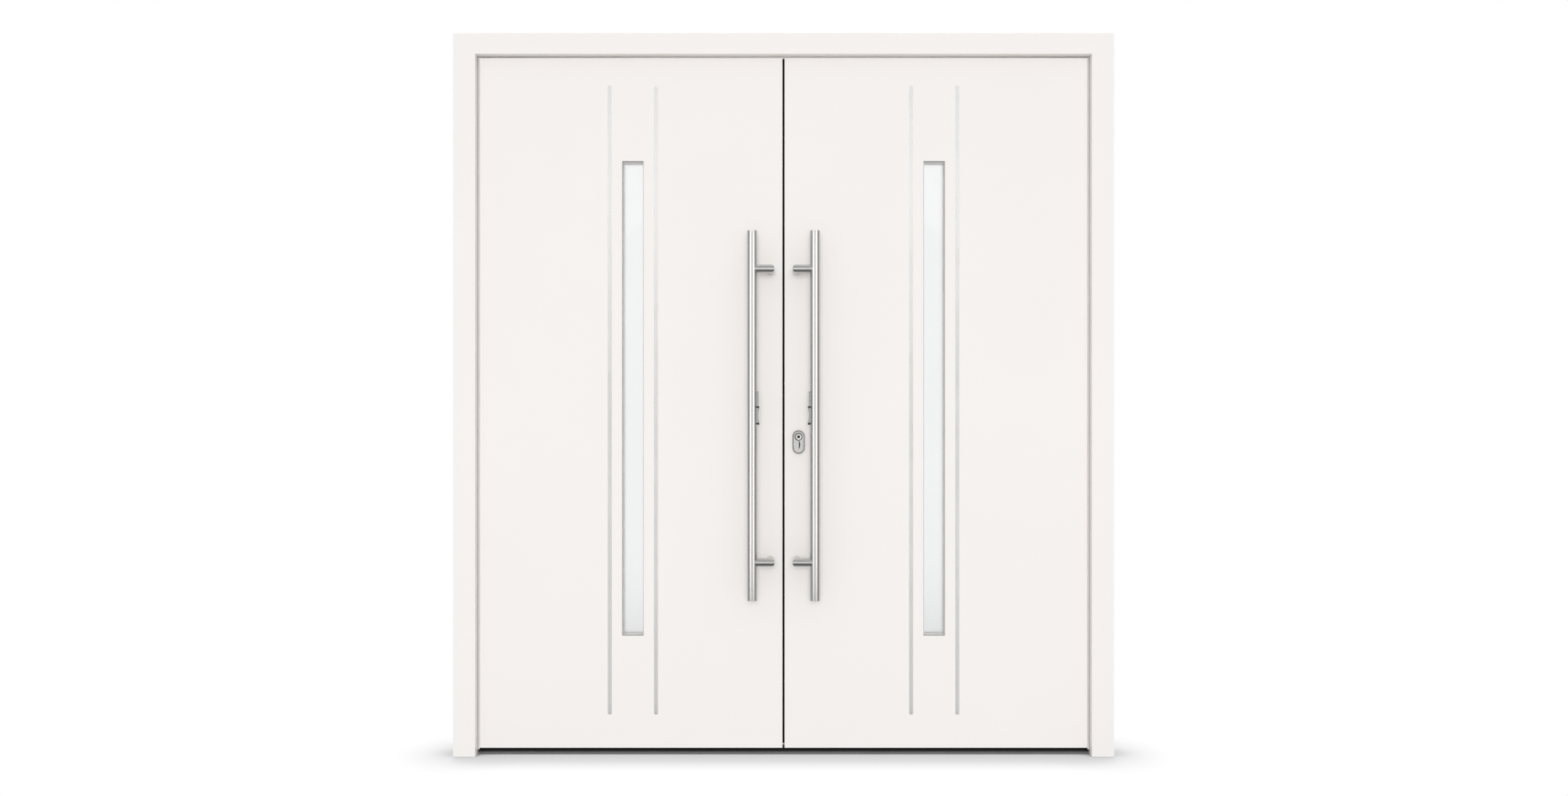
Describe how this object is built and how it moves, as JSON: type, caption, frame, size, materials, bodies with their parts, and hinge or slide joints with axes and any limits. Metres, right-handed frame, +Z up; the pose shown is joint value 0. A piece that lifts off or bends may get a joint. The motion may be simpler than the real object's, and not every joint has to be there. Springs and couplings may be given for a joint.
{
  "type": "double entrance door",
  "caption": "White flush double door in its frame, inward opening, with narrow frosted glass strips, steel inlay strips, tall pull bars, a keyed lock and an inside lever.",
  "frame": {"origin": "underside of the threshold, at the middle of the frame's width and depth", "axes": "+X to the right seen from outside, +Y into the building, +Z up"},
  "size_m": [2, 0.198, 2.19],
  "materials": {
    "white_paint": "satin",
    "mill_aluminium": "anodised",
    "grey_rubber": "matte",
    "black_rubber": "matte",
    "stainless": "brushed",
    "nickel_brass": "satin nickel plate",
    "core_foam": "cut foam",
    "frosted_glass": "satin etched",
    "spacer_metal": "mill",
    "reader_plastic": "satin"
  },
  "bodies": {
    "frame": {"left_jamb": "white_paint", "right_jamb": "white_paint", "head": "white_paint", "threshold": "mill_aluminium", "frame_gasket": "grey_rubber", "head_keep": "stainless", "left_frame_hinge_wings": "stainless", "right_frame_hinge_wings": "stainless", "left_hinge_pins": "stainless", "right_hinge_pins": "stainless"},
    "left_leaf": {"left_outer_panel": "white_paint", "left_leaf_frame": "white_paint", "left_core": "core_foam", "left_inner_panel": "white_paint", "left_glass_panes": "frosted_glass", "left_glass_spacer": "spacer_metal", "left_glazing_bead": "white_paint", "left_inlay_strips": "stainless", "left_pull_bar": "stainless", "left_bar_caps": "stainless", "left_bar_arms": "stainless", "left_bar_bolts": "stainless", "left_finger_reader": "reader_plastic", "left_leaf_hinge_wings": "stainless", "left_meeting_seal": "black_rubber", "left_bottom_seal": "black_rubber", "strike_plates": "stainless", "flush_bolt_plates": "stainless"},
    "right_leaf": {"right_outer_panel": "white_paint", "right_leaf_frame": "white_paint", "right_core": "core_foam", "right_inner_panel": "white_paint", "right_glass_panes": "frosted_glass", "right_glass_spacer": "spacer_metal", "right_glazing_bead": "white_paint", "right_inlay_strips": "stainless", "right_pull_bar": "stainless", "right_bar_caps": "stainless", "right_bar_arms": "stainless", "right_bar_bolts": "stainless", "right_finger_reader": "reader_plastic", "right_leaf_hinge_wings": "stainless", "right_meeting_seal": "black_rubber", "right_bottom_seal": "black_rubber", "outer_escutcheon": "stainless", "lock_cylinder": "nickel_brass", "lock_faceplate": "stainless", "lock_case": "stainless", "inside_handle_plate": "stainless"},
    "lever": {"inside_lever": "stainless", "lever_spindle": "stainless"},
    "latch": {"latch_bolt": "stainless"},
    "lock_bolts": {"dead_bolt": "stainless", "auxiliary_bolts": "stainless"},
    "cylinder_core": {"key_plug": "nickel_brass", "thumb_turn": "stainless"},
    "top_bolt": {"top_flush_bolt": "stainless"},
    "bottom_bolt": {"bottom_flush_bolt": "stainless"}
  },
  "joints": [
    {"name": "left_leaf_swing", "type": "hinge", "parent": "frame", "child": "left_leaf", "pos_m": [-0.9525, 0.055, 1.08], "axis": [0, 0, 1], "range_deg": [0, 95]},
    {"name": "right_leaf_swing", "type": "hinge", "parent": "frame", "child": "right_leaf", "pos_m": [0.9525, 0.055, 1.08], "axis": [0, 0, -1], "range_deg": [0, 95]},
    {"name": "lever_turn", "type": "hinge", "parent": "right_leaf", "child": "lever", "pos_m": [0.0458, 0.05, 1.06], "axis": [0, 1, 0], "range_deg": [0, 40], "stiffness_Nm_per_rad": 1.2, "springref_deg": -28.65},
    {"name": "latch_slide", "type": "slide", "parent": "right_leaf", "child": "latch", "axis": [-1, 0, 0], "range_m": [0, 0.012]},
    {"name": "cylinder_turn", "type": "hinge", "parent": "right_leaf", "child": "cylinder_core", "pos_m": [0.0458, 0.019, 0.968], "axis": [0, 1, 0], "range_deg": [0, 360]},
    {"name": "bolt_throw", "type": "slide", "parent": "right_leaf", "child": "lock_bolts", "axis": [-1, 0, 0], "range_m": [0, 0.02]},
    {"name": "top_bolt_slide", "type": "slide", "parent": "left_leaf", "child": "top_bolt", "axis": [0, 0, 1], "range_m": [0, 0.013]},
    {"name": "bottom_bolt_slide", "type": "slide", "parent": "left_leaf", "child": "bottom_bolt", "axis": [0, 0, -1], "range_m": [0, 0.013]}
  ],
  "couplings": [
    {"joint": "bolt_throw", "follows": "cylinder_turn", "m_per_rad": 0.003183}
  ]
}
